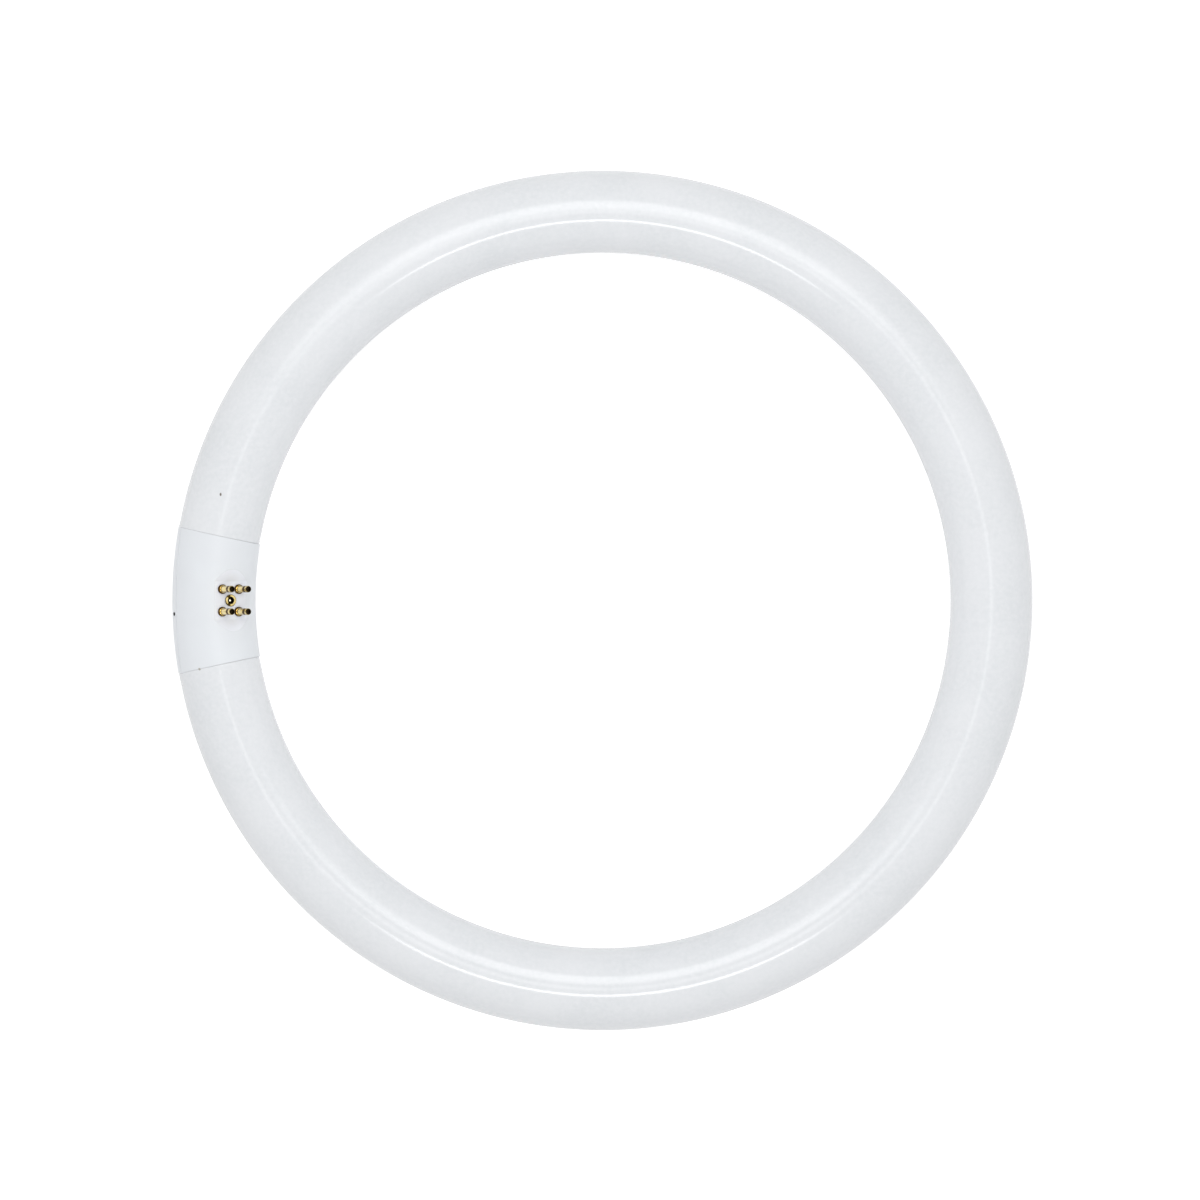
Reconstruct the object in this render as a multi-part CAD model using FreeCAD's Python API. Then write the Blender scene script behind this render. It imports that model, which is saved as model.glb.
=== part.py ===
"""Circular fluorescent tube: a sealed glass ring, closed by a riveted two-part cap with four pins.

The ring lies flat. Its axis is +Z, the cap is on the -X side and the lowest point of the cap is at z = 0.
"""
import FreeCAD
import Part
import math
import os

from FreeCAD import Placement, Rotation, Vector

# Ring of bent glass tube, in millimetres (angles in degrees)
RING_OUTER_DIAMETER = 305.0
TUBE_DIAMETER = 29.0
END_STRAIGHT = 5.0

# Sealed tube ends under the cap: shoulder, neck, rolled rim, funnel and exhaust tip
NECK_STEP = 2.3
SHOULDER_TURN = 86.0
NECK_LENGTH = 8.0
RIM_WIDTH = 4.0
FUNNEL_DEPTH = 7.0
FUNNEL_TAPER = 3.2
EXHAUST_DIAMETER = 3.0
EXHAUST_STANDOUT = 2.0

# Moulded cap: two half shells that clamp the necks
CAP_LENGTH = 46.4
CAP_PROUD = 0.25
CAP_WALL = 1.6
CAP_END_DRAFT = 0.8
CAP_EDGE_ROUND = 0.1
GRIP_WIDTH = 4.0
SEAM_WIDTH = 0.4
NECK_CLEARANCE = 0.06
PARTING_GAP = 0.2
TONGUE_HEIGHT = 0.8
TONGUE_CLEARANCE = 0.1

# Sunk flat face that carries the pins, leaning from upright towards the ring's centre
PIN_LEAN = 30.0
PAD_LENGTH = 13.4
PAD_END_SLOPE = 20.0
PAD_SINK = 1.35
PAD_THICKNESS = 2.2

# Four hollow brass pins, staked in the pad
PIN_PITCH_ALONG = 7.92
PIN_PITCH_ACROSS = 6.35
PIN_DIAMETER = 2.35
PIN_BORE = 1.2
PIN_LENGTH = 8.2
PIN_TIP_ROUND = 0.4
PIN_COLLAR_DIAMETER = 3.4
PIN_COLLAR_HEIGHT = 0.9
PIN_COLLAR_ROUND = 0.3
PIN_STAKE_WIDTH = 0.35
PIN_STAKE_HEIGHT = 0.7
PIN_HOLE_CLEARANCE = 0.03

# Semi-tubular rivet through the middle of the cap, and the columns around it
RIVET_DIAMETER = 2.8
RIVET_HEAD_DIAMETER = 5.0
RIVET_HEAD_HEIGHT = 1.0
RIVET_HEAD_CROWN = 0.35
RIVET_HEAD_SINK = 0.3
RIVET_ROLL_DIAMETER = 4.2
RIVET_ROLL_HEIGHT = 0.6
RIVET_HOLE_DIAMETER = 2.2
RIVET_HOLE_DEPTH = 1.8
RIVET_CLEARANCE = 0.1
RIVET_HEAD_CLEARANCE = 0.3
COLUMN_WALL = 1.3

# Small round hole in the back shell, beside the parting line
VENT_DIAMETER = 1.6
VENT_ALONG = -4.8
VENT_TURN = 98.0

# Bare lead wires from the stems to the pins
LEAD_DIAMETER = 0.7
LEAD_BEND_RADIUS = 3.0
LEAD_ROOT_GAP = 0.1
LEAD_TIP_SETBACK = 0.4

# Radii and levels that follow from the sizes above
TUBE_RADIUS = TUBE_DIAMETER / 2
RING_RADIUS = RING_OUTER_DIAMETER / 2 - TUBE_RADIUS
NECK_RADIUS = TUBE_RADIUS - NECK_STEP
CAP_RADIUS = TUBE_RADIUS + CAP_PROUD
HOLLOW_RADIUS = CAP_RADIUS - CAP_WALL
TONGUE_RADIUS = CAP_RADIUS - CAP_WALL / 2
TONGUE_HALF_LENGTH = CAP_LENGTH / 2 - 2 * GRIP_WIDTH
REACH = RING_OUTER_DIAMETER
PAD_FACE = CAP_RADIUS - PAD_SINK
PAD_BACK = PAD_FACE - PAD_THICKNESS
PIN_RADIUS = PIN_DIAMETER / 2
PIN_BORE_RADIUS = PIN_BORE / 2
PIN_COLLAR_RADIUS = PIN_COLLAR_DIAMETER / 2
PIN_COLLAR_TOP = PAD_FACE + PIN_COLLAR_HEIGHT
PIN_TIP = PAD_FACE + PIN_LENGTH
RIVET_RADIUS = RIVET_DIAMETER / 2
RIVET_HEAD_RADIUS = RIVET_HEAD_DIAMETER / 2
RIVET_BORE_RADIUS = RIVET_RADIUS + RIVET_CLEARANCE
RIVET_SEAT = RIVET_HEAD_HEIGHT + RIVET_HEAD_SINK - CAP_RADIUS
HEAD_POCKET_RADIUS = RIVET_HEAD_RADIUS + RIVET_HEAD_CLEARANCE

# Shoulder of two equal arcs, and the stations along a tube end
SHOULDER_ANGLE = math.radians(SHOULDER_TURN)
SHOULDER_RADIUS = NECK_STEP / (1 - math.cos(SHOULDER_ANGLE)) / 2
SHOULDER_LENGTH = 2 * SHOULDER_RADIUS * math.sin(SHOULDER_ANGLE)
END_STATION = SHOULDER_LENGTH + NECK_LENGTH
FLOOR_STATION = END_STATION - FUNNEL_DEPTH
MOUTH_RADIUS = NECK_RADIUS - RIM_WIDTH
FLOOR_RADIUS = MOUTH_RADIUS - FUNNEL_TAPER

# Turns about the ring's axis, from the middle of the cap
HOLLOW_HALF_TURN = math.degrees((CAP_LENGTH / 2 - GRIP_WIDTH) / RING_RADIUS)
BEND_TURN = math.degrees((CAP_LENGTH / 2 + SEAM_WIDTH + END_STRAIGHT) / RING_RADIUS)

# Frames: the ring's axis, and the cap's own frame with X across, Y along the tube and Z along the pins
CENTRE = Vector(0, 0, 0)
RING_AXIS = Vector(0, 0, 1)
ALONG = Vector(0, 1, 0)
CAP_CENTRE = Vector(-RING_RADIUS, 0, CAP_RADIUS)
CAP_FRAME = Placement(CAP_CENTRE, Rotation(ALONG, PIN_LEAN))
PIN_AXIS = CAP_FRAME.Rotation.multVec(RING_AXIS)
ACROSS_AXIS = ALONG.cross(PIN_AXIS)


def line(start, end):
    """A straight edge between two (radius, height) stations of a turned profile."""
    return Part.LineSegment(Vector(start[0], 0, start[1]), Vector(end[0], 0, end[1])).toShape()


def arc(start, middle, end):
    """A round edge through three (radius, height) stations of a turned profile."""
    points = [Vector(station[0], 0, station[1]) for station in (start, middle, end)]
    return Part.Arc(*points).toShape()


def round_corner(start, end, centre, radius):
    """A quarter round between two stations, bulging away from its centre."""
    towards = Vector(start[0] + end[0] - 2 * centre[0], 0, start[1] + end[1] - 2 * centre[1]).normalize()
    return arc(start, (centre[0] + radius * towards.x, centre[1] + radius * towards.z), end)


def outline(stations):
    """Straight edges through a run of stations."""
    return [line(start, end) for start, end in zip(stations, stations[1:])]


def turned(edges, frame):
    """A closed profile turned about the Z axis of a frame."""
    solid = Part.Face(Part.Wire(edges)).revolve(CENTRE, RING_AXIS, 360)
    solid.Placement = frame
    return solid


def tube_sector(radius, start_turn, sweep, seam):
    """A round bar bent about the ring's axis, its surface seam on the side of one direction."""
    circle = Part.Circle(CAP_CENTRE, ALONG, radius)
    circle.XAxis = seam
    disc = Part.Face(Part.Wire(circle.toShape()))
    disc.rotate(CENTRE, RING_AXIS, start_turn)
    return disc.revolve(CENTRE, RING_AXIS, sweep)


def half_space(point, normal):
    """A block that fills everything beyond a plane."""
    block = Part.makeBox(REACH, REACH, REACH, Vector(-REACH / 2, -REACH / 2, 0))
    block.Placement = Placement(point, Rotation(RING_AXIS, normal))
    return block


def cap_block(across, along, low, high):
    """A block in the cap's frame, centred on the rivet."""
    block = Part.makeBox(across, along, high - low, Vector(-across / 2, -along / 2, low))
    block.Placement = CAP_FRAME
    return block


def cap_rod(radius, low, high, across=0, along=0):
    """A round rod in the cap's frame, along the pins."""
    rod = Part.makeCylinder(radius, high - low, Vector(across, along, low))
    rod.Placement = CAP_FRAME
    return rod


def ring_point(turn, side):
    """The point of the tube's axis at a turn from the middle of the cap, towards one side."""
    angle = math.radians(turn)
    return Vector(-RING_RADIUS * math.cos(angle), side * RING_RADIUS * math.sin(angle), CAP_RADIUS)


def ring_tangent(turn, side):
    """The direction of the tube's axis at that point, away from the cap."""
    angle = math.radians(turn)
    return Vector(math.sin(angle), side * math.cos(angle), 0)


def end_point(side, distance):
    """The point of one straight tube end's axis at a distance beyond the start of its shoulder."""
    return ring_point(BEND_TURN, side) - ring_tangent(BEND_TURN, side) * (END_STRAIGHT + distance)


def end_frame(side):
    """Frame of one tube end: Z out of the tube towards the cap's middle, X across."""
    inward = ring_tangent(BEND_TURN, side) * -1
    return Placement(end_point(side, 0), Rotation(ACROSS_AXIS, Vector(), inward, "ZXY"))


def shoulder(grow):
    """The S of two arcs from tube to neck, grown outwards by a clearance."""
    outer_radius = SHOULDER_RADIUS + grow
    inner_radius = SHOULDER_RADIUS - grow
    outer_centre = TUBE_RADIUS - SHOULDER_RADIUS
    inner_centre = NECK_RADIUS + SHOULDER_RADIUS

    def outer(angle):
        return (outer_centre + outer_radius * math.cos(angle), outer_radius * math.sin(angle))

    def inner(angle):
        height = SHOULDER_LENGTH - inner_radius * math.sin(angle)
        return (inner_centre - inner_radius * math.cos(angle), height)

    half = SHOULDER_ANGLE / 2
    return [
        arc(outer(0), outer(half), outer(SHOULDER_ANGLE)),
        arc(inner(SHOULDER_ANGLE), inner(half), inner(0)),
    ]


def sealed_end(side, has_exhaust_tip):
    """One straight tube end with its shoulder, neck, rolled rim, funnel and, on one side, exhaust tip."""
    rim_radius = RIM_WIDTH / 2
    rim_foot = END_STATION - rim_radius
    foot = (0, -END_STRAIGHT)
    edges = outline([foot, (TUBE_RADIUS, -END_STRAIGHT), (TUBE_RADIUS, 0)]) + shoulder(0)
    edges += outline([(NECK_RADIUS, SHOULDER_LENGTH), (NECK_RADIUS, rim_foot)])
    rim_top = (NECK_RADIUS - rim_radius, END_STATION)
    edges.append(arc((NECK_RADIUS, rim_foot), rim_top, (MOUTH_RADIUS, rim_foot)))
    edges += outline([(MOUTH_RADIUS, rim_foot), (FLOOR_RADIUS, FLOOR_STATION)])
    if has_exhaust_tip:
        radius = EXHAUST_DIAMETER / 2
        tip = END_STATION + EXHAUST_STANDOUT
        tip_foot = (radius, tip - radius)
        edges += outline([(FLOOR_RADIUS, FLOOR_STATION), (radius, FLOOR_STATION), tip_foot])
        edges.append(round_corner(tip_foot, (0, tip), (0, tip - radius), radius))
        edges += outline([(0, tip), foot])
    else:
        edges += outline([(FLOOR_RADIUS, FLOOR_STATION), (0, FLOOR_STATION), foot])
    return turned(edges, end_frame(side))


def glass_tube():
    """The bent tube with both sealed ends, one piece of glass."""
    sweep = 360 - 2 * BEND_TURN
    ring = tube_sector(TUBE_RADIUS, BEND_TURN, sweep, RING_AXIS * -1)
    return ring.fuse([sealed_end(1, True), sealed_end(-1, False)]).removeSplitter().Solids[0]


def neck_space(side):
    """Room for one neck and its shoulder inside the cap, grown by the clearance."""
    radius = NECK_RADIUS + NECK_CLEARANCE
    edges = outline([(0, 0), (TUBE_RADIUS + NECK_CLEARANCE, 0)]) + shoulder(NECK_CLEARANCE)
    edges += outline([(radius, SHOULDER_LENGTH), (radius, END_STATION), (0, END_STATION), (0, 0)])
    return turned(edges, end_frame(side))


def drafted_end(half, side):
    """Everything beyond one end of a half shell, drafted away from the parting plane."""
    axis_point = end_point(side, SEAM_WIDTH)
    outward = ring_tangent(BEND_TURN, side)
    rise = (axis_point - CAP_CENTRE).dot(PIN_AXIS)
    draw = (PIN_AXIS - outward * PIN_AXIS.dot(outward)).normalize()
    draft = math.radians(CAP_END_DRAFT)
    normal = outward * math.cos(draft) + draw * (half * math.sin(draft))
    return half_space(axis_point - PIN_AXIS * rise, normal)


def shell_blank(half):
    """Solid half of the cap on one side of the parting plane, with its end edges rounded."""
    bar = tube_sector(CAP_RADIUS, -BEND_TURN, 2 * BEND_TURN, PIN_AXIS * -half)
    parting = half_space(CAP_CENTRE + PIN_AXIS * (half * PARTING_GAP / 2), PIN_AXIS * -half)
    blank = bar.cut([parting, drafted_end(half, 1), drafted_end(half, -1)]).Solids[0]
    skin = [face for face in blank.Faces if isinstance(face.Surface, Part.Toroid)][0]
    rims = [edge for edge in skin.Edges if abs(edge.CenterOfMass.y) > CAP_LENGTH / 4]
    return blank.makeFillet(CAP_EDGE_ROUND, rims)


def bent_space(radius, half_turn, half):
    """A bent round space in the cap, reaching the same turn to both sides of the rivet."""
    return tube_sector(radius, -half_turn, 2 * half_turn, PIN_AXIS * -half)


def lap(half, clearance):
    """The strip of the parting plane that the lap tongue fills, grown by a clearance."""
    half_turn = math.degrees((TONGUE_HALF_LENGTH + clearance) / RING_RADIUS)
    height = TONGUE_HEIGHT + clearance
    bar = bent_space(TONGUE_RADIUS + clearance, half_turn, half)
    return bar.common(cap_block(REACH, REACH, -height, height))


def pin_places():
    """The pins' places in the cap's frame, as across, along and tube end."""
    across = PIN_PITCH_ACROSS / 2
    along = PIN_PITCH_ALONG / 2
    return [(reach, side * along, side) for side in (1, -1) for reach in (-across, across)]


def pad_space():
    """Room above the sunk pad, its two ends sloping up to the cap's surface."""
    run = 2 * PAD_SINK / math.tan(math.radians(PAD_END_SLOPE))
    low, high = PAD_FACE, PAD_FACE + 2 * PAD_SINK
    half = PAD_LENGTH / 2
    corners = [(-half, low), (half, low), (half + run, high), (-half - run, high), (-half, low)]
    section = Part.Face(Part.makePolygon([Vector(-REACH / 2, y, z) for y, z in corners]))
    room = section.extrude(Vector(REACH, 0, 0))
    room.Placement = CAP_FRAME
    return room


def cap_pin_shell():
    """The half shell with the sunk pad, the pin holes, the lap rebate and the rivet column."""
    pad_body = cap_block(REACH, PAD_LENGTH + 2 * CAP_WALL, PAD_BACK, REACH)
    room = bent_space(HOLLOW_RADIUS, HOLLOW_HALF_TURN, 1).cut(pad_body)
    shell = shell_blank(1).cut([room, pad_space(), neck_space(1), neck_space(-1), lap(1, TONGUE_CLEARANCE)])
    shell = shell.fuse(cap_rod(RIVET_BORE_RADIUS + COLUMN_WALL, 0, PAD_FACE))
    holes = [cap_rod(RIVET_BORE_RADIUS, -REACH, REACH)]
    hole_radius = PIN_RADIUS + PIN_HOLE_CLEARANCE
    for across, along, _ in pin_places():
        holes.append(cap_rod(hole_radius, 0, REACH, across, along))
    return shell.cut(holes).removeSplitter().Solids[0]


def vent():
    """The small hole's drill, square to the back shell's surface."""
    drill = Part.makeCylinder(VENT_DIAMETER / 2, REACH)
    drill.Placement = CAP_FRAME.multiply(
        Placement(Vector(0, VENT_ALONG, 0), Rotation(ALONG, -VENT_TURN))
    )
    return drill


def cap_back_shell():
    """The half shell with the lap tongue, the rivet head's pocket and column, and the small hole."""
    room = bent_space(HOLLOW_RADIUS, HOLLOW_HALF_TURN, -1)
    shell = shell_blank(-1).fuse(lap(-1, 0)).cut([room, neck_space(1), neck_space(-1)])
    shell = shell.fuse(cap_rod(HEAD_POCKET_RADIUS + COLUMN_WALL, CAP_WALL / 2 - CAP_RADIUS, 0))
    head_pocket = cap_rod(HEAD_POCKET_RADIUS, -REACH, RIVET_SEAT)
    holes = [cap_rod(RIVET_BORE_RADIUS, -REACH, REACH), head_pocket, vent()]
    return shell.cut(holes).removeSplitter().Solids[0]


def contact_pin(across, along):
    """One hollow pin: staked inner end, shank, collar on the pad and rounded open tip."""
    stake = PIN_RADIUS + PIN_STAKE_WIDTH
    foot = PAD_BACK - PIN_STAKE_HEIGHT
    collar_edge = PIN_COLLAR_RADIUS - PIN_COLLAR_ROUND
    collar_side = PIN_COLLAR_TOP - PIN_COLLAR_ROUND
    tip_edge = PIN_RADIUS - PIN_TIP_ROUND
    tip_side = PIN_TIP - PIN_TIP_ROUND
    edges = outline(
        [
            (PIN_BORE_RADIUS, PIN_TIP),
            (PIN_BORE_RADIUS, foot),
            (stake, foot),
            (stake, PAD_BACK),
            (PIN_RADIUS, PAD_BACK),
            (PIN_RADIUS, PAD_FACE),
            (PIN_COLLAR_RADIUS, PAD_FACE),
            (PIN_COLLAR_RADIUS, collar_side),
        ]
    )
    edges.append(
        round_corner(
            (PIN_COLLAR_RADIUS, collar_side),
            (collar_edge, PIN_COLLAR_TOP),
            (collar_edge, collar_side),
            PIN_COLLAR_ROUND,
        )
    )
    edges += outline([(collar_edge, PIN_COLLAR_TOP), (PIN_RADIUS, PIN_COLLAR_TOP), (PIN_RADIUS, tip_side)])
    tip_centre = (tip_edge, tip_side)
    edges.append(round_corner((PIN_RADIUS, tip_side), (tip_edge, PIN_TIP), tip_centre, PIN_TIP_ROUND))
    edges += outline([(tip_edge, PIN_TIP), (PIN_BORE_RADIUS, PIN_TIP)])
    return turned(edges, CAP_FRAME.multiply(Placement(Vector(across, along, 0), Rotation())))


def cap_rivet():
    """The rivet: crowned head, shank, and round-bottomed tubular end rolled over on the pad."""
    head_side = RIVET_SEAT - RIVET_HEAD_HEIGHT + RIVET_HEAD_CROWN
    crown_foot = RIVET_SEAT - RIVET_HEAD_HEIGHT
    crown_width = RIVET_HEAD_RADIUS - RIVET_HEAD_CROWN
    hole_radius = RIVET_HOLE_DIAMETER / 2
    roll_radius = RIVET_ROLL_DIAMETER / 2
    roll_round = RIVET_ROLL_HEIGHT / 2
    roll_top = PAD_FACE + RIVET_ROLL_HEIGHT
    lip_round = RIVET_ROLL_HEIGHT / 2
    hole_floor = roll_top - RIVET_HOLE_DEPTH
    hole_foot = hole_floor + hole_radius
    edges = outline([(0, crown_foot), (crown_width, crown_foot)])
    edges.append(
        round_corner(
            (crown_width, crown_foot),
            (RIVET_HEAD_RADIUS, head_side),
            (crown_width, head_side),
            RIVET_HEAD_CROWN,
        )
    )
    edges += outline(
        [
            (RIVET_HEAD_RADIUS, head_side),
            (RIVET_HEAD_RADIUS, RIVET_SEAT),
            (RIVET_RADIUS, RIVET_SEAT),
            (RIVET_RADIUS, PAD_FACE),
            (roll_radius - roll_round, PAD_FACE),
        ]
    )
    edges.append(
        arc(
            (roll_radius - roll_round, PAD_FACE),
            (roll_radius, PAD_FACE + roll_round),
            (roll_radius - roll_round, roll_top),
        )
    )
    edges += outline([(roll_radius - roll_round, roll_top), (hole_radius + lip_round, roll_top)])
    edges.append(
        round_corner(
            (hole_radius + lip_round, roll_top),
            (hole_radius, roll_top - lip_round),
            (hole_radius + lip_round, roll_top - lip_round),
            lip_round,
        )
    )
    edges += outline([(hole_radius, roll_top - lip_round), (hole_radius, hole_foot)])
    edges.append(round_corner((hole_radius, hole_foot), (0, hole_floor), (0, hole_foot), hole_radius))
    edges += outline([(0, hole_floor), (0, crown_foot)])
    return turned(edges, CAP_FRAME)


def lead_wire(across, along, side):
    """One bare lead: straight out of the stem, one bend, then straight up the pin's bore."""
    stem = end_frame(side).multVec(Vector(across, 0, FLOOR_STATION + LEAD_ROOT_GAP))
    level = (stem - CAP_CENTRE).dot(PIN_AXIS)
    corner = CAP_FRAME.multVec(Vector(across, along, level))
    tip = CAP_FRAME.multVec(Vector(across, along, PIN_TIP - LEAD_TIP_SETBACK))
    to_stem = (stem - corner).normalize()
    to_tip = (tip - corner).normalize()
    half_angle = to_stem.getAngle(to_tip) / 2
    setback = LEAD_BEND_RADIUS / math.tan(half_angle)
    depth = LEAD_BEND_RADIUS / math.sin(half_angle) - LEAD_BEND_RADIUS
    bend_start = corner + to_stem * setback
    bend_middle = corner + (to_stem + to_tip).normalize() * depth
    bend_end = corner + to_tip * setback
    path = Part.Wire(
        [
            Part.LineSegment(stem, bend_start).toShape(),
            Part.Arc(bend_start, bend_middle, bend_end).toShape(),
            Part.LineSegment(bend_end, tip).toShape(),
        ]
    )
    section = Part.Wire(Part.Circle(stem, to_stem, LEAD_DIAMETER / 2).toShape())
    return path.makePipeShell([section], True, False)


def build():
    """Every piece of the lamp, by node name."""
    pieces = {
        "glass_tube": glass_tube(),
        "cap_pin_shell": cap_pin_shell(),
        "cap_back_shell": cap_back_shell(),
        "cap_rivet": cap_rivet(),
    }
    for number, (across, along, side) in enumerate(pin_places(), 1):
        pieces[f"contact_pin_{number}"] = contact_pin(across, along)
        pieces[f"lead_wire_{number}"] = lead_wire(across, along, side)
    return pieces


os.makedirs("parts", exist_ok=True)
for node, shape in build().items():
    shape.exportStep(f"parts/{node}.step")
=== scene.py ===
"""Looks of a circular fluorescent tube: coated glass ring, moulded cap, brass pins and rivet."""

import logging
import math
from dataclasses import dataclass
from enum import Enum

import bmesh
import bpy
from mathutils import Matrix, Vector


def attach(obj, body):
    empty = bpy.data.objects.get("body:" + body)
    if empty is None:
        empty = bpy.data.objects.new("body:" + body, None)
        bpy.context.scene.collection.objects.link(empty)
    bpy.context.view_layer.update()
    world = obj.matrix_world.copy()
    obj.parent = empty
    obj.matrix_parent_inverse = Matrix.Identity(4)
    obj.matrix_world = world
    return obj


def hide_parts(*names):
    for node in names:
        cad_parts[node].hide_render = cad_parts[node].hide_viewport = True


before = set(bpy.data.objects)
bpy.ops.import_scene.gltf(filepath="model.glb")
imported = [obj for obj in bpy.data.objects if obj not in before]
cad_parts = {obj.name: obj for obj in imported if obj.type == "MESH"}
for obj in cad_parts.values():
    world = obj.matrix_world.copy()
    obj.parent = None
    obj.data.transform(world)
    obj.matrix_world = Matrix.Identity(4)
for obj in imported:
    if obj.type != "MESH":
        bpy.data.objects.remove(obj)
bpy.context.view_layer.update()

LOG = logging.getLogger("circular_tube")
MM = 0.001
UP = Vector((0.0, 0.0, 1.0))
ALONG = Vector((0.0, 1.0, 0.0))  # along the tube at the cap
# A colour Mix node's sockets by number, because each type of data repeats their names.
FACTOR, BASE, TOP, MIXED = 0, 6, 7, 2

Tree = bpy.types.NodeTree
Socket = bpy.types.NodeSocket


class Slot(Enum):
    """Material slots of the record that pieces made here belong to."""

    GLASS = "coated_glass"


class TubeEnd(Enum):
    """The sealed ends of the glass, by the side of the cap's middle that they lie on."""

    PLUS_Y = 1
    MINUS_Y = -1


def linear(code: str) -> tuple[float, float, float, float]:
    """Turn an sRGB hex colour to linear light.

    Args:
        code: Six hex digits with a leading hash.

    Returns:
        Linear red, green, blue and a full alpha.
    """
    channels = [int(code[i : i + 2], 16) / 255 for i in (1, 3, 5)]
    red, green, blue = (
        c / 12.92 if c <= 0.04045 else ((c + 0.055) / 1.055) ** 2.4 for c in channels
    )
    return (red, green, blue, 1.0)


def per_mm(size_mm: float) -> float:
    """Texture scale, in repeats per metre, of a pattern with features of this size."""
    return 1.0 / (size_mm * MM)


def add_node(
    tree: Tree, kind: str, inputs: dict[str | int, object] | None = None, **settings: object
) -> bpy.types.Node:
    """Add a shader node with its settings and links.

    Args:
        tree: Node tree that gets the node.
        kind: Blender's type name of the node.
        inputs: Value or source socket for each input, by the input's name or number.
        settings: Attributes of the node itself.

    Returns:
        The new node.
    """
    node = tree.nodes.new(kind)
    for name, value in settings.items():
        setattr(node, name, value)
    for key, value in (inputs or {}).items():
        if isinstance(value, Socket):
            tree.links.new(value, node.inputs[key])
        else:
            node.inputs[key].default_value = value
    return node


def new_material(name: str) -> tuple[bpy.types.Material, Tree]:
    """Start an empty node material.

    Args:
        name: The material's name.

    Returns:
        The material and its node tree.
    """
    material = bpy.data.materials.new(name)
    material.use_nodes = True
    material.node_tree.nodes.clear()
    return material, material.node_tree


def background_ray(tree: Tree, direct: float, mirrored: float) -> Socket:
    """Strength of the background for the rays that show it.

    Args:
        tree: Node tree of the background's material.
        direct: Strength for rays straight from the camera.
        mirrored: Strength for rays that come by way of gloss or glass.

    Returns:
        Socket with the strength, which is 0 for rays that only light the object.
    """
    path = add_node(tree, "ShaderNodeLightPath")
    shares = {"Is Camera Ray": direct, "Is Glossy Ray": mirrored, "Is Transmission Ray": mirrored}
    strength: Socket | float = 0.0
    for kind, share in shares.items():
        part = add_node(
            tree, "ShaderNodeMath", {0: path.outputs[kind], 1: share}, operation="MULTIPLY"
        ).outputs[0]
        strength = add_node(
            tree, "ShaderNodeMath", {0: strength, 1: part}, operation="MAXIMUM"
        ).outputs[0]
    return strength


@dataclass(frozen=True)
class CapFrame:
    """The cap's place in the row's frame: its middle on the tube's axis and the pins' direction."""

    ring_radius: float = 138.0 * MM
    height: float = 14.75 * MM
    lean: float = math.radians(30.0)
    length: float = 46.4 * MM
    skin_radius: float = 14.75 * MM
    seam_width: float = 0.4 * MM
    end_straight: float = 5.0 * MM
    sunk_depths: tuple[float, float] = (0.02 * MM, 0.08 * MM)

    @property
    def centre(self) -> Vector:
        """Middle of the cap on the tube's axis."""
        return Vector((-self.ring_radius, 0.0, self.height))

    @property
    def out(self) -> Vector:
        """Direction of the pins."""
        return Vector((math.sin(self.lean), 0.0, math.cos(self.lean)))

    @property
    def across(self) -> Vector:
        """Direction across the tube, square to the pins."""
        return ALONG.cross(self.out)

    @property
    def bend_turn(self) -> float:
        """Turn about the ring's axis, from the middle of the cap, where the tube's bend ends."""
        return (self.length / 2 + self.seam_width + self.end_straight) / self.ring_radius

    def axes(self, tree: Tree, place: Socket) -> list[Socket]:
        """Distances of a point from the middle of the cap, along the cap's own axes.

        Args:
            tree: Node tree of the material.
            place: Socket with the point.

        Returns:
            Sockets for across the tube, along the tube, and out along the pins.
        """
        local = add_node(
            tree, "ShaderNodeVectorMath", {0: place, 1: self.centre}, operation="SUBTRACT"
        ).outputs["Vector"]
        return [
            add_node(
                tree, "ShaderNodeVectorMath", {0: local, 1: axis}, operation="DOT_PRODUCT"
            ).outputs["Value"]
            for axis in (self.across, ALONG, self.out)
        ]

    def sunk(self, tree: Tree, place: Socket) -> Socket:
        """Mask of what lies below the cap's round skin.

        Args:
            tree: Node tree of the material.
            place: Socket with the point.

        Returns:
            Socket that is 1 from a little below the skin inwards.
        """
        x, y, z = add_node(tree, "ShaderNodeSeparateXYZ", {"Vector": place}).outputs
        level = add_node(tree, "ShaderNodeCombineXYZ", {"X": x, "Y": y}).outputs["Vector"]
        reach = add_node(
            tree, "ShaderNodeVectorMath", {0: level}, operation="LENGTH"
        ).outputs["Value"]
        section = add_node(tree, "ShaderNodeCombineXYZ", {"X": reach, "Y": z}).outputs["Vector"]
        axis = Vector((self.ring_radius, self.height, 0.0))
        away = add_node(
            tree, "ShaderNodeVectorMath", {0: section, 1: axis}, operation="DISTANCE"
        ).outputs["Value"]
        start, full = (self.skin_radius - depth for depth in self.sunk_depths)
        return add_node(
            tree, "ShaderNodeMapRange", {"Value": away, "From Min": start, "From Max": full}
        ).outputs["Result"]


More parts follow.
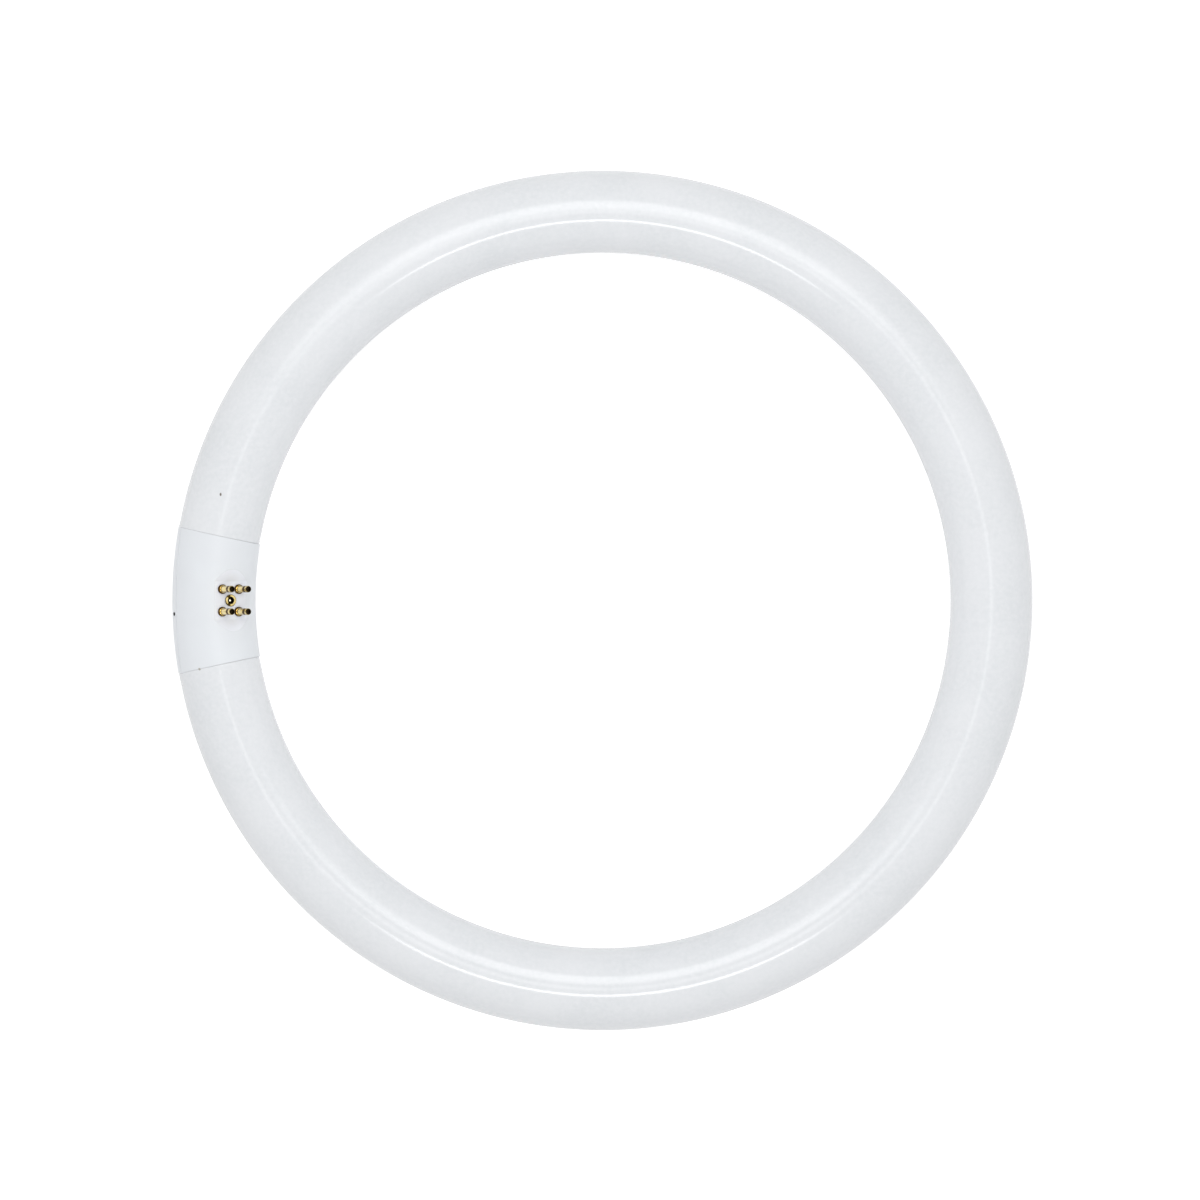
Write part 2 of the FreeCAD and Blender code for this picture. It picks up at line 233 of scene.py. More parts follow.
@dataclass(frozen=True)
class SurfaceSpot:
    """A small spot at one point of the surface: a fleck of dirt, a patch of painted shade or a
    painted highlight.
    """

    at: tuple[float, float, float]  # mm in the row's frame
    radius: float  # mm
    colour: str
    reach: tuple[float, float, float] = (1.0, 1.0, 1.0)  # weight of each axis in the distance
    core: float = 0.5  # share of the radius that is fully covered

    def mask(self, tree: Tree, place: Socket) -> Socket:
        """Soft-edged mask of the spot.

        Args:
            tree: Node tree of the material.
            place: Socket with the point of the surface.

        Returns:
            Socket that is 1 in the spot.
        """
        offset = add_node(
            tree, "ShaderNodeVectorMath", {0: place, 1: Vector(self.at) * MM}, operation="SUBTRACT"
        ).outputs["Vector"]
        scaled = add_node(
            tree, "ShaderNodeVectorMath", {0: offset, 1: Vector(self.reach)}, operation="MULTIPLY"
        ).outputs["Vector"]
        away = add_node(
            tree, "ShaderNodeVectorMath", {0: scaled}, operation="LENGTH"
        ).outputs["Value"]
        return add_node(
            tree,
            "ShaderNodeMapRange",
            {"Value": away, "From Min": self.radius * MM, "From Max": self.radius * MM * self.core},
            interpolation_type="SMOOTHSTEP",
        ).outputs["Result"]

    def over(self, tree: Tree, place: Socket, colour: Socket) -> Socket:
        """Paint the spot over a colour.

        Args:
            tree: Node tree of the material.
            place: Socket with the point of the surface.
            colour: Socket with the colour below.

        Returns:
            Socket with the colour and the spot.
        """
        return add_node(
            tree,
            "ShaderNodeMix",
            {FACTOR: self.mask(tree, place), BASE: colour, TOP: linear(self.colour)},
            data_type="RGBA",
        ).outputs[MIXED]


SEAM_FLECK = SurfaceSpot(at=(-142.05, -24.2, 28.0), radius=0.6, colour="#bab7ac")
GLASS_FLECK = SurfaceSpot(
    at=(-134.5, 37.3, 29.15), radius=0.45, colour="#77706a", reach=(1.0, 0.6, 1.0)
)
# painted shade: a near-black spot painted over the vent hole, where the hole lies in shade
VENT_HOLE_SHADE = SurfaceSpot(
    at=(-151.7, -4.8, 20.2), radius=0.85, colour="#2b2725", reach=(1.0, 1.0, 0.3)
)
# painted shade: dark patches on the rivet's roll, either side of its hole
RIVET_SHADE_PATCHES = tuple(
    SurfaceSpot(at=(-131.74, along, 27.19), radius=0.85, colour="#4f3f14") for along in (1.4, -1.4)
)
# painted highlight: a near-white glint at the bottom of the rivet's hole
RIVET_PAINTED_GLINT = SurfaceSpot(at=(-131.35, 0.0, 25.17), radius=0.6, colour="#fdf6dc")


@dataclass(frozen=True)
class CoatedGlassFinish:
    """Soda-lime glass, drawn and bent, dusted inside with white phosphor.

    The eye gets a hard clear gloss over a chalk-white, faintly blue coat that is a little uneven,
    with painted shade on the shoulder down in the groove at the cap's edge.
    """

    coat: str = "#e8eaed"
    thin_coat: str = "#e1e4e7"
    groove_shade: str = "#cfccc4"
    cloud_mm: float = 22.0
    grain_mm: float = 1.6
    ripple_mm: float = 60.0
    ripple_height: float = 0.03 * MM
    thin_range: tuple[float, float] = (0.12, 0.42)  # of the pattern, from full to thin coat
    roughness: tuple[float, float] = (0.07, 0.11)
    ior: float = 1.52
    flecks: tuple[SurfaceSpot, ...] = (GLASS_FLECK, SEAM_FLECK)

    def make(self) -> bpy.types.Material:
        """Build the material.

        Returns:
            The new material.
        """
        material, tree = new_material("soda_lime_glass_powder_coated")
        place = add_node(tree, "ShaderNodeTexCoord").outputs["Object"]
        cloud = add_node(
            tree,
            "ShaderNodeTexNoise",
            {"Vector": place, "Scale": per_mm(self.cloud_mm), "Detail": 3.0},
        ).outputs["Fac"]
        grain = add_node(
            tree,
            "ShaderNodeTexNoise",
            {"Vector": place, "Scale": per_mm(self.grain_mm), "Detail": 2.0},
        ).outputs["Fac"]
        blend = add_node(
            tree, "ShaderNodeMath", {0: cloud, 1: grain}, operation="MULTIPLY"
        ).outputs[0]
        full, thinnest = self.thin_range
        thin = add_node(
            tree, "ShaderNodeMapRange", {"Value": blend, "From Min": full, "From Max": thinnest}
        ).outputs["Result"]
        coat = add_node(
            tree,
            "ShaderNodeMix",
            {FACTOR: thin, BASE: linear(self.coat), TOP: linear(self.thin_coat)},
            data_type="RGBA",
        ).outputs[MIXED]
        # painted shade: the coat turns darker on the shoulder, down in the groove at the cap's edge
        depth = add_node(
            tree, "ShaderNodeAttribute", attribute_name="shoulder_depth"
        ).outputs["Fac"]
        colour = add_node(
            tree,
            "ShaderNodeMix",
            {FACTOR: depth, BASE: coat, TOP: linear(self.groove_shade)},
            data_type="RGBA",
        ).outputs[MIXED]
        for fleck in self.flecks:
            colour = fleck.over(tree, place, colour)
        gloss = add_node(
            tree,
            "ShaderNodeMapRange",
            {"Value": cloud, "To Min": self.roughness[0], "To Max": self.roughness[1]},
        ).outputs["Result"]
        ripple = add_node(
            tree,
            "ShaderNodeTexNoise",
            {"Vector": place, "Scale": per_mm(self.ripple_mm), "Detail": 0.0},
        ).outputs["Fac"]
        bump = add_node(
            tree,
            "ShaderNodeBump",
            {"Height": ripple, "Distance": self.ripple_height, "Strength": 1.0},
        ).outputs["Normal"]
        shader = add_node(
            tree,
            "ShaderNodeBsdfPrincipled",
            {"Base Color": colour, "Roughness": gloss, "IOR": self.ior, "Normal": bump},
        )
        add_node(tree, "ShaderNodeOutputMaterial", {"Surface": shader.outputs["BSDF"]})
        return material


@dataclass(frozen=True)
class MouldedPlasticFinish:
    """Polyester plastic, injection moulded in a finely spark-eroded tool.

    The eye gets a cool white with a soft satin gloss and a faint cloud from the melt's flow, and a
    lighter white painted on the sunk pad, painted light that lifts the shade falling there.
    """

    white: str = "#e9edf1"
    cloud: str = "#e3e6ea"
    painted_pad_light: str = "#f0f3fa"
    cloud_mm: float = 14.0
    spark_mm: float = 0.5  # real spark marks are near 0.1 mm, drawn coarser so that they show
    spark_height: float = 0.006 * MM
    roughness: tuple[float, float] = (0.26, 0.36)
    ior: float = 1.55
    flecks: tuple[SurfaceSpot, ...] = (VENT_HOLE_SHADE, SEAM_FLECK)
    cap: CapFrame = CapFrame()

    def make(self) -> bpy.types.Material:
        """Build the material.

        Returns:
            The new material.
        """
        material, tree = new_material("polyester_injection_moulded")
        place = add_node(tree, "ShaderNodeTexCoord").outputs["Object"]
        flow = add_node(
            tree,
            "ShaderNodeTexNoise",
            {"Vector": place, "Scale": per_mm(self.cloud_mm), "Detail": 4.0, "Distortion": 0.6},
        ).outputs["Fac"]
        spark = add_node(
            tree,
            "ShaderNodeTexNoise",
            {"Vector": place, "Scale": per_mm(self.spark_mm), "Detail": 2.0},
        ).outputs["Fac"]
        colour = add_node(
            tree,
            "ShaderNodeMix",
            {FACTOR: flow, BASE: linear(self.white), TOP: linear(self.cloud)},
            data_type="RGBA",
        ).outputs[MIXED]
        # painted light: a lighter white on the sunk pad, lifting the shade in the recess
        colour = add_node(
            tree,
            "ShaderNodeMix",
            {FACTOR: self.cap.sunk(tree, place), BASE: colour, TOP: linear(self.painted_pad_light)},
            data_type="RGBA",
        ).outputs[MIXED]
        for fleck in self.flecks:
            colour = fleck.over(tree, place, colour)
        gloss = add_node(
            tree,
            "ShaderNodeMapRange",
            {"Value": flow, "To Min": self.roughness[0], "To Max": self.roughness[1]},
        ).outputs["Result"]
        bump = add_node(
            tree,
            "ShaderNodeBump",
            {"Height": spark, "Distance": self.spark_height, "Strength": 1.0},
        ).outputs["Normal"]
        shader = add_node(
            tree,
            "ShaderNodeBsdfPrincipled",
            {"Base Color": colour, "Roughness": gloss, "IOR": self.ior, "Normal": bump},
        )
        add_node(tree, "ShaderNodeOutputMaterial", {"Surface": shader.outputs["BSDF"]})
        return material


@dataclass(frozen=True)
class BrassFinish:
    """Brass, drawn and headed, left bare, with uneven brown tarnish.

    The eye gets warm gold on the sides that face up and outwards, which is painted light, and
    browner flanks, rims, bands along the pins and a dark hollow, which are painted shade.
    """

    name: str
    gold: str
    tarnish_and_shade: str
    stops: tuple[tuple[float, float], ...]  # mm out along the pins, and painted shade (over 1: no patches)
    axis_at: tuple[float, float]  # mm across and along the tube
    hollow_radius: float  # mm
    hollow_shade: str
    rim: tuple[float, float]  # mm from the axis where the rim's painted shade starts and is full
    # patches of painted shade
    shade_patches: tuple[SurfaceSpot, ...] = ()
    # painted highlights, which are also made glossier
    glint_spots: tuple[SurfaceSpot, ...] = ()
    roughness: tuple[float, float] = (0.12, 0.4)
    lit_facing: tuple[float, float] = (0.45, 0.95)  # cosine where the painted light starts and is full
    side_shade: float = 0.6
    patch_mm: float = 0.9
    patch_stretch: float = 0.35
    patch_range: tuple[float, float] = (0.3, 0.7)
    patch_tarnish: tuple[float, float] = (-0.2, 0.25)
    hollow_fade: float = 1.12  # of the hollow's radius, where its painted shade starts
    cap: CapFrame = CapFrame()

    def make(self) -> bpy.types.Material:
        """Build the material.

        Returns:
            The new material.
        """
        material, tree = new_material(self.name)
        coords = add_node(tree, "ShaderNodeTexCoord")
        place = coords.outputs["Object"]
        across, along, out = self.cap.axes(tree, place)
        away = self.from_axis(tree, across, along)
        # painted light and shade: dark bands along the pins, dark flanks and a dark rim
        amount = self.shade_by_height(tree, out)
        for other in (self.shade_by_side(tree, coords.outputs["Normal"]), self.shade_by_rim(tree, away)):
            amount = add_node(
                tree, "ShaderNodeMath", {0: amount, 1: other}, operation="MAXIMUM"
            ).outputs[0]
        drawn = add_node(
            tree, "ShaderNodeMath", {0: out, 1: self.patch_stretch}, operation="MULTIPLY"
        ).outputs[0]
        spread = add_node(
            tree, "ShaderNodeCombineXYZ", {"X": across, "Y": along, "Z": drawn}
        ).outputs["Vector"]
        patch = add_node(
            tree,
            "ShaderNodeTexNoise",
            {"Vector": spread, "Scale": per_mm(self.patch_mm), "Detail": 3.0},
        ).outputs["Fac"]
        uneven = add_node(
            tree,
            "ShaderNodeMapRange",
            {
                "Value": patch,
                "From Min": self.patch_range[0],
                "From Max": self.patch_range[1],
                "To Min": self.patch_tarnish[0],
                "To Max": self.patch_tarnish[1],
            },
        ).outputs["Result"]
        amount = add_node(
            tree, "ShaderNodeMath", {0: amount, 1: uneven}, operation="ADD", use_clamp=True
        ).outputs[0]
        colour = add_node(
            tree,
            "ShaderNodeMix",
            {FACTOR: amount, BASE: linear(self.gold), TOP: linear(self.tarnish_and_shade)},
            data_type="RGBA",
        ).outputs[MIXED]
        # painted shade: dark patches painted over the brass
        for shade_patch in self.shade_patches:
            colour = shade_patch.over(tree, place, colour)
        edge = self.hollow_radius * MM
        # painted shade: the hollow turns dark inwards from near its edge
        inside = add_node(
            tree,
            "ShaderNodeMapRange",
            {"Value": away, "From Min": edge * self.hollow_fade, "From Max": edge},
        ).outputs["Result"]
        colour = add_node(
            tree,
            "ShaderNodeMix",
            {FACTOR: inside, BASE: colour, TOP: linear(self.hollow_shade)},
            data_type="RGBA",
        ).outputs[MIXED]
        # painted highlight: each glint spot is painted on and made glossier
        for spot in self.glint_spots:
            colour = spot.over(tree, place, colour)
            amount = add_node(
                tree, "ShaderNodeMath", {0: amount, 1: spot.mask(tree, place)}, operation="SUBTRACT"
            ).outputs[0]
        gloss = add_node(
            tree,
            "ShaderNodeMapRange",
            {"Value": amount, "To Min": self.roughness[0], "To Max": self.roughness[1]},
        ).outputs["Result"]
        shader = add_node(
            tree,
            "ShaderNodeBsdfPrincipled",
            {"Base Color": colour, "Roughness": gloss, "Metallic": 1.0},
        )
        add_node(tree, "ShaderNodeOutputMaterial", {"Surface": shader.outputs["BSDF"]})
        return material

    def shade_by_height(self, tree: Tree, out: Socket) -> Socket:
        """Painted shade in bands that follow the distance out along the pins.

        Args:
            tree: Node tree of the material.
            out: Socket with that distance.

        Returns:
            Socket with the amount.
        """
        low, high = self.stops[0][0], self.stops[-1][0]
        level = add_node(
            tree, "ShaderNodeMapRange", {"Value": out, "From Min": low * MM, "From Max": high * MM}
        ).outputs["Result"]
        ramp = add_node(tree, "ShaderNodeValToRGB", {"Fac": level})
        elements = ramp.color_ramp.elements
        for _ in self.stops[2:]:  # a new ramp has two elements, and all get their places below
            elements.new(0.5)
        for element, (height, amount) in zip(elements, self.stops):
            element.position = (height - low) / (high - low)
            element.color = (amount, amount, amount, 1.0)
        return ramp.outputs["Color"]

    def shade_by_side(self, tree: Tree, normal: Socket) -> Socket:
        """Painted shade on every side but the ones that face up and outwards, which are painted lit.

        Args:
            tree: Node tree of the material.
            normal: Socket with the surface's normal.

        Returns:
            Socket with the amount.
        """
        outer, upper = (
            add_node(
                tree, "ShaderNodeVectorMath", {0: normal, 1: axis}, operation="DOT_PRODUCT"
            ).outputs["Value"]
            for axis in (-self.cap.across, self.cap.out)
        )
        best = add_node(
            tree, "ShaderNodeMath", {0: upper, 1: outer}, operation="MAXIMUM"
        ).outputs[0]
        start, full = self.lit_facing
        return add_node(
            tree,
            "ShaderNodeMapRange",
            {"Value": best, "From Min": full, "From Max": start, "To Max": self.side_shade},
            interpolation_type="SMOOTHSTEP",
        ).outputs["Result"]

    def from_axis(self, tree: Tree, across: Socket, along: Socket) -> Socket:
        """Distance from the axis of the pin or rivet.

        Args:
            tree: Node tree of the material.
            across: Socket with the distance across the tube.
            along: Socket with the distance along the tube.

        Returns:
            Socket with the distance.
        """
        flat = add_node(tree, "ShaderNodeCombineXYZ", {"X": across, "Y": along}).outputs["Vector"]
        folded = add_node(
            tree, "ShaderNodeVectorMath", {0: flat}, operation="ABSOLUTE"
        ).outputs["Vector"]
        middle = Vector((*self.axis_at, 0.0)) * MM
        return add_node(
            tree, "ShaderNodeVectorMath", {0: folded, 1: middle}, operation="DISTANCE"
        ).outputs["Value"]

    def shade_by_rim(self, tree: Tree, away: Socket) -> Socket:
        """Painted shade on the rim, from a distance off the axis.

        Args:
            tree: Node tree of the material.
            away: Socket with the distance from the axis.

        Returns:
            Socket with the amount.
        """
        return add_node(
            tree,
            "ShaderNodeMapRange",
            {"Value": away, "From Min": self.rim[0] * MM, "From Max": self.rim[1] * MM},
        ).outputs["Result"]


@dataclass(frozen=True)
class LeadWireFinish:
    """Nickel-plated lead wire, drawn.

    The eye gets a grey metal with a dull streaky shine, and painted shade, dark brown, at its
    crimped tip.
    """

    bright: str = "#b9b5ac"
    dull: str = "#8d897f"
    # painted shade: the tip's dark brown, down in the pin's bore
    tip: str = "#2e2415"
    tip_heights: tuple[float, float] = (19.0 * MM, 20.5 * MM)
    streak_mm: float = 0.8
    roughness: tuple[float, float] = (0.28, 0.45)
    cap: CapFrame = CapFrame()

    def make(self) -> bpy.types.Material:
        """Build the material.

        Returns:
            The new material.
        """
        material, tree = new_material("nickel_wire_drawn")
        place = add_node(tree, "ShaderNodeTexCoord").outputs["Object"]
        _, _, out = self.cap.axes(tree, place)
        streak = add_node(
            tree,
            "ShaderNodeTexNoise",
            {"Vector": place, "Scale": per_mm(self.streak_mm), "Detail": 2.0},
        ).outputs["Fac"]
        metal = add_node(
            tree,
            "ShaderNodeMix",
            {FACTOR: streak, BASE: linear(self.bright), TOP: linear(self.dull)},
            data_type="RGBA",
        ).outputs[MIXED]
        # painted shade: the wire's end, down in the pin's bore, goes dark brown
        tip_shade_mask = add_node(
            tree,
            "ShaderNodeMapRange",
            {"Value": out, "From Min": self.tip_heights[0], "From Max": self.tip_heights[1]},
        ).outputs["Result"]
        colour = add_node(
            tree,
            "ShaderNodeMix",
            {FACTOR: tip_shade_mask, BASE: metal, TOP: linear(self.tip)},
            data_type="RGBA",
        ).outputs[MIXED]
        gloss = add_node(
            tree,
            "ShaderNodeMapRange",
            {"Value": streak, "To Min": self.roughness[0], "To Max": self.roughness[1]},
        ).outputs["Result"]
        shader = add_node(
            tree,
            "ShaderNodeBsdfPrincipled",
            {"Base Color": colour, "Roughness": gloss, "Metallic": 1.0},
        )
        add_node(tree, "ShaderNodeOutputMaterial", {"Surface": shader.outputs["BSDF"]})
        return material


@dataclass(frozen=True)
class StudioPaperFinish:
    """White backdrop paper: matt, lit by the lamps, and bleached to plain white before the camera.

    Gloss and glass show it white too, where the object doesn't shade it.
    """

    white: str = "#f1f1f1"
    bleach: float = 0.42
    mirrored_bleach: float = 0.12

    def make(self) -> bpy.types.Material:
        """Build the material.

        Returns:
            The new material.
        """
        material, tree = new_material("backdrop_paper_white")
        paper = add_node(
            tree, "ShaderNodeBsdfDiffuse", {"Color": linear(self.white)}
        ).outputs["BSDF"]
        strength = background_ray(tree, self.bleach, self.mirrored_bleach)
        glow = add_node(tree, "ShaderNodeEmission", {"Strength": strength}).outputs["Emission"]
        both = add_node(tree, "ShaderNodeAddShader", {0: paper, 1: glow}).outputs["Shader"]
        add_node(tree, "ShaderNodeOutputMaterial", {"Surface": both})
        return material


@dataclass
class GlassRing:
    """The bent glass tube with its two straight, necked and sealed ends."""

    cap: CapFrame = CapFrame()
    tube_radius: float = 14.5 * MM
    neck_step: float = 2.3 * MM
    shoulder_turn: float = math.radians(86.0)
    neck_length: float = 8.0 * MM
    rim_width: float = 4.0 * MM
    funnel_depth: float = 7.0 * MM
    funnel_taper: float = 3.2 * MM
    exhaust_radius: float = 1.5 * MM
    exhaust_standout: float = 2.0 * MM
    exhaust_end: TubeEnd = TubeEnd.PLUS_Y
    groove_start: float = 0.35 * MM
    groove_end: float = 1.0 * MM
    ring_steps: int = 420
    round_steps: int = 96
    arc_steps: int = 12
    sharp_angle: float = math.radians(50.0)

    def end_stations(self, which: TubeEnd) -> list[tuple[float, float]]:
        """Stations of one sealed end, as distance beyond the start of the shoulder and radius.

        Args:
            which: The end, which decides whether the exhaust tip stands in its funnel.

        Returns:
            Stations from the start of the shoulder to the axis.
        """
        bend = self.neck_step / (1 - math.cos(self.shoulder_turn)) / 2
        length = 2 * bend * math.sin(self.shoulder_turn)
        neck = self.tube_radius - self.neck_step
        end = length + self.neck_length
        floor = end - self.funnel_depth
        rim = self.rim_width / 2
        steps = [i / self.arc_steps for i in range(1, self.arc_steps + 1)]
        turns = [self.shoulder_turn * step for step in steps]
        stations = [(0.0, self.tube_radius)]
        stations += [
            (bend * math.sin(t), self.tube_radius - bend * (1 - math.cos(t))) for t in turns
        ]
        back = [self.shoulder_turn - t for t in turns]
        stations += [(length - bend * math.sin(t), neck + bend * (1 - math.cos(t))) for t in back]
        halves = [math.pi * step for step in [0.0] + steps]
        stations += [
            (end - rim + rim * math.sin(t), neck - rim + rim * math.cos(t)) for t in halves
        ]
        stations.append((floor, neck - self.rim_width - self.funnel_taper))
        if which is self.exhaust_end:
            tip = end + self.exhaust_standout
            stations.append((floor, self.exhaust_radius))
            quarter = [math.pi / 2 * step for step in [0.0] + steps[:-1]]
            stations += [
                (tip - self.exhaust_radius * (1 - math.sin(t)), self.exhaust_radius * math.cos(t))
                for t in quarter
            ]
            stations.append((tip, 0.0))
        else:
            stations.append((floor, 0.0))
        return stations

    def section(self, turn: float, inward: float, radius: float, which: TubeEnd) -> list[Vector]:
        """Points of one round section.

        Args:
            turn: Turn of the section's frame about the ring's axis, from the middle of the cap.
            inward: Distance from there along the straight end's axis, towards the cap's middle.
            radius: Radius of the section.
            which: The end that the distance runs into.

        Returns:
            Points around the section, in the same sense all along the tube.
        """
        outward = Vector((-math.cos(turn), math.sin(turn), 0.0))
        along = Vector((-math.sin(turn), -math.cos(turn), 0.0)) * which.value
        middle = outward * self.cap.ring_radius + along * inward + UP * self.cap.height
        angles = [2 * math.pi * i / self.round_steps for i in range(self.round_steps)]
        return [middle + (outward * math.cos(a) + UP * math.sin(a)) * radius for a in angles]

    def end_rows(self, which: TubeEnd) -> list[tuple[list[Vector], float]]:
        """Sections of one end, from its shoulder to its axis, with their depth in the groove.

        Args:
            which: The end.

        Returns:
            Points and groove depth of each section.
        """
        turn = self.cap.bend_turn * which.value
        width = self.groove_end - self.groove_start
        rows = []
        for beyond, radius in self.end_stations(which):
            depth = min(max((beyond - self.groove_start) / width, 0.0), 1.0)
            points = self.section(turn, self.cap.end_straight + beyond, radius, which)
            rows.append((points, depth))
        return rows

    def build(self) -> bpy.types.Object:
        """Build the ring as one lofted mesh.

        Returns:
            The glass ring's object.
        """
        first = self.cap.bend_turn
        sweep = 2 * math.pi - 2 * first
        turns = [first + sweep * i / self.ring_steps for i in range(self.ring_steps + 1)]
        rows = list(reversed(self.end_rows(TubeEnd.PLUS_Y)))
        rows += [(self.section(t, 0.0, self.tube_radius, TubeEnd.PLUS_Y), 0.0) for t in turns]
        rows += self.end_rows(TubeEnd.MINUS_Y)
        return self.loft(rows)

    def loft(self, rows: list[tuple[list[Vector], float]]) -> bpy.types.Object:
        """Skin the rows of points with quads and close both ends at their middle points.

        Args:
            rows: Points and groove depth of each section. The first and last have no radius.

        Returns:
            The object with the skin.
        """
        mesh = bpy.data.meshes.new("glass_ring")
        build = bmesh.new()
        layer = build.verts.layers.float.new("shoulder_depth")
        rings = []
        for number, (points, depth) in enumerate(rows):
            is_end = number in (0, len(rows) - 1)
            ring = [build.verts.new(p) for p in (points[:1] if is_end else points)]
            for vert in ring:
                vert[layer] = depth
            rings.append(ring)
        for one, two in zip(rings, rings[1:]):
            for i in range(self.round_steps):
                j = (i + 1) % self.round_steps
                pairs = ((one, i), (one, j), (two, j), (two, i))
                corners = [row[k % len(row)] for row, k in pairs]
                build.faces.new(list(dict.fromkeys(corners)))
        bmesh.ops.recalc_face_normals(build, faces=build.faces)
        for face in build.faces:
            face.smooth = True
        build.to_mesh(mesh)
        build.free()
        mesh.set_sharp_from_angle(angle=self.sharp_angle)
        ring_object = bpy.data.objects.new("glass_ring", mesh)
        bpy.context.collection.objects.link(ring_object)
        return ring_object

    def dress(self, ring: bpy.types.Object, finish: CoatedGlassFinish) -> None:
        """Give the ring its finish and its place in the frame.

        Args:
            ring: The glass ring's object.
            finish: Its finish.
        """
        ring.data.materials.append(finish.make())
        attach(ring, "root")
        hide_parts("glass_tube")
        LOG.info("glass ring: %d faces", len(ring.data.polygons))


@dataclass
class RivetedCap:
    """The two half shells, four pins, rivet and leads, which are solids in their CAD form."""

    shells: tuple[str, ...] = ("cap_pin_shell", "cap_back_shell")
    pins: tuple[str, ...] = tuple(f"contact_pin_{n}" for n in range(1, 5))
    leads: tuple[str, ...] = tuple(f"lead_wire_{n}" for n in range(1, 5))
    rivets: tuple[str, ...] = ("cap_rivet",)
    plastic: MouldedPlasticFinish = MouldedPlasticFinish()
    pin_brass: BrassFinish = BrassFinish(
        name="brass_drawn_pins",
        gold="#ffeaa6",
        tarnish_and_shade="#4a300b",
        # painted shade in bands: the collar's side, a band below the tip and the tip's end face
        stops=(
            (13.4, 1.2),
            (14.0, 1.1),
            (14.2, 0.0),
            (18.5, 0.0),
            (19.1, 1.1),
            (20.1, 1.1),
            (20.7, 0.05),
            (21.2, 0.05),
            (21.5, 0.7),
        ),
        axis_at=(3.175, 3.96),
        hollow_radius=0.95,
        hollow_shade="#1d150b",
        rim=(1.19, 1.35),
    )
    rivet_brass: BrassFinish = BrassFinish(
        name="brass_rolled_rivet",
        gold="#fbe398",
        tarnish_and_shade="#4d3a10",
        # painted shade at the foot of the roll
        stops=((13.4, 1.2), (13.6, 1.1), (13.8, 0.1), (14.1, 0.1)),
        axis_at=(0.0, 0.0),
        hollow_radius=1.2,
        hollow_shade="#1d150b",
        rim=(1.8, 2.0),
        shade_patches=RIVET_SHADE_PATCHES,
        glint_spots=(RIVET_PAINTED_GLINT,),
    )
    lead_metal: LeadWireFinish = LeadWireFinish()

    def dress(self) -> None:
        """Give every carried-over node its finish."""
        groups = (
            (self.shells, self.plastic.make()),
            (self.pins, self.pin_brass.make()),
            (self.rivets, self.rivet_brass.make()),
            (self.leads, self.lead_metal.make()),
        )
        for names, material in groups:
            for name in names:
                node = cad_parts[name]
                node.data.materials.clear()
                node.data.materials.append(material)
                LOG.info("%s: %s", name, material.name)


@dataclass(frozen=True)
class SoftLamp:
    """A rectangular studio lamp whose light fades towards its edges."""

    name: str
    tilt: float
    distance: float
    length: float
    width: float
    radiance: float
    fade: tuple[float, float]  # share of the length and the width that each edge takes to fade
    middle: float = 0.5  # of the lamp's surface coordinates, which run from 0 to 1

    def hang(self) -> None:
        """Hang the lamp over the object, turned to it about X."""
        light = bpy.data.lights.new(self.name, "AREA")
        light.shape = "RECTANGLE"
        light.size, light.size_y = self.length, self.width
        light.energy = self.radiance * math.pi * self.length * self.width
        light.use_nodes = True
        tree = light.node_tree
        tree.nodes.clear()
        spot = add_node(tree, "ShaderNodeNewGeometry").outputs["Parametric"]
        split = add_node(tree, "ShaderNodeSeparateXYZ", {"Vector": spot})
        strength: Socket | float = 1.0
        for axis, fade in zip("XY", self.fade):
            offset = add_node(
                tree,
                "ShaderNodeMath",
                {0: split.outputs[axis], 1: self.middle},
                operation="SUBTRACT",
            ).outputs[0]
            reach = add_node(tree, "ShaderNodeMath", {0: offset}, operation="ABSOLUTE").outputs[0]
            part = add_node(
                tree,
                "ShaderNodeMapRange",
                {"Value": reach, "From Min": self.middle, "From Max": self.middle - fade},
                interpolation_type="SMOOTHSTEP",
            ).outputs["Result"]
            strength = add_node(
                tree, "ShaderNodeMath", {0: strength, 1: part}, operation="MULTIPLY"
            ).outputs[0]
        glow = add_node(tree, "ShaderNodeEmission", {"Strength": strength}).outputs["Emission"]
        add_node(tree, "ShaderNodeOutputLight", {"Surface": glow})
        lamp = bpy.data.objects.new(self.name, light)
        lamp.location = Vector((0.0, math.sin(self.tilt), math.cos(self.tilt))) * self.distance
        lamp.rotation_euler = (-self.tilt, 0.0, 0.0)
        lamp.visible_camera = False
        bpy.context.collection.objects.link(lamp)
        LOG.info("%s: %.2f x %.2f m", self.name, self.length, self.width)


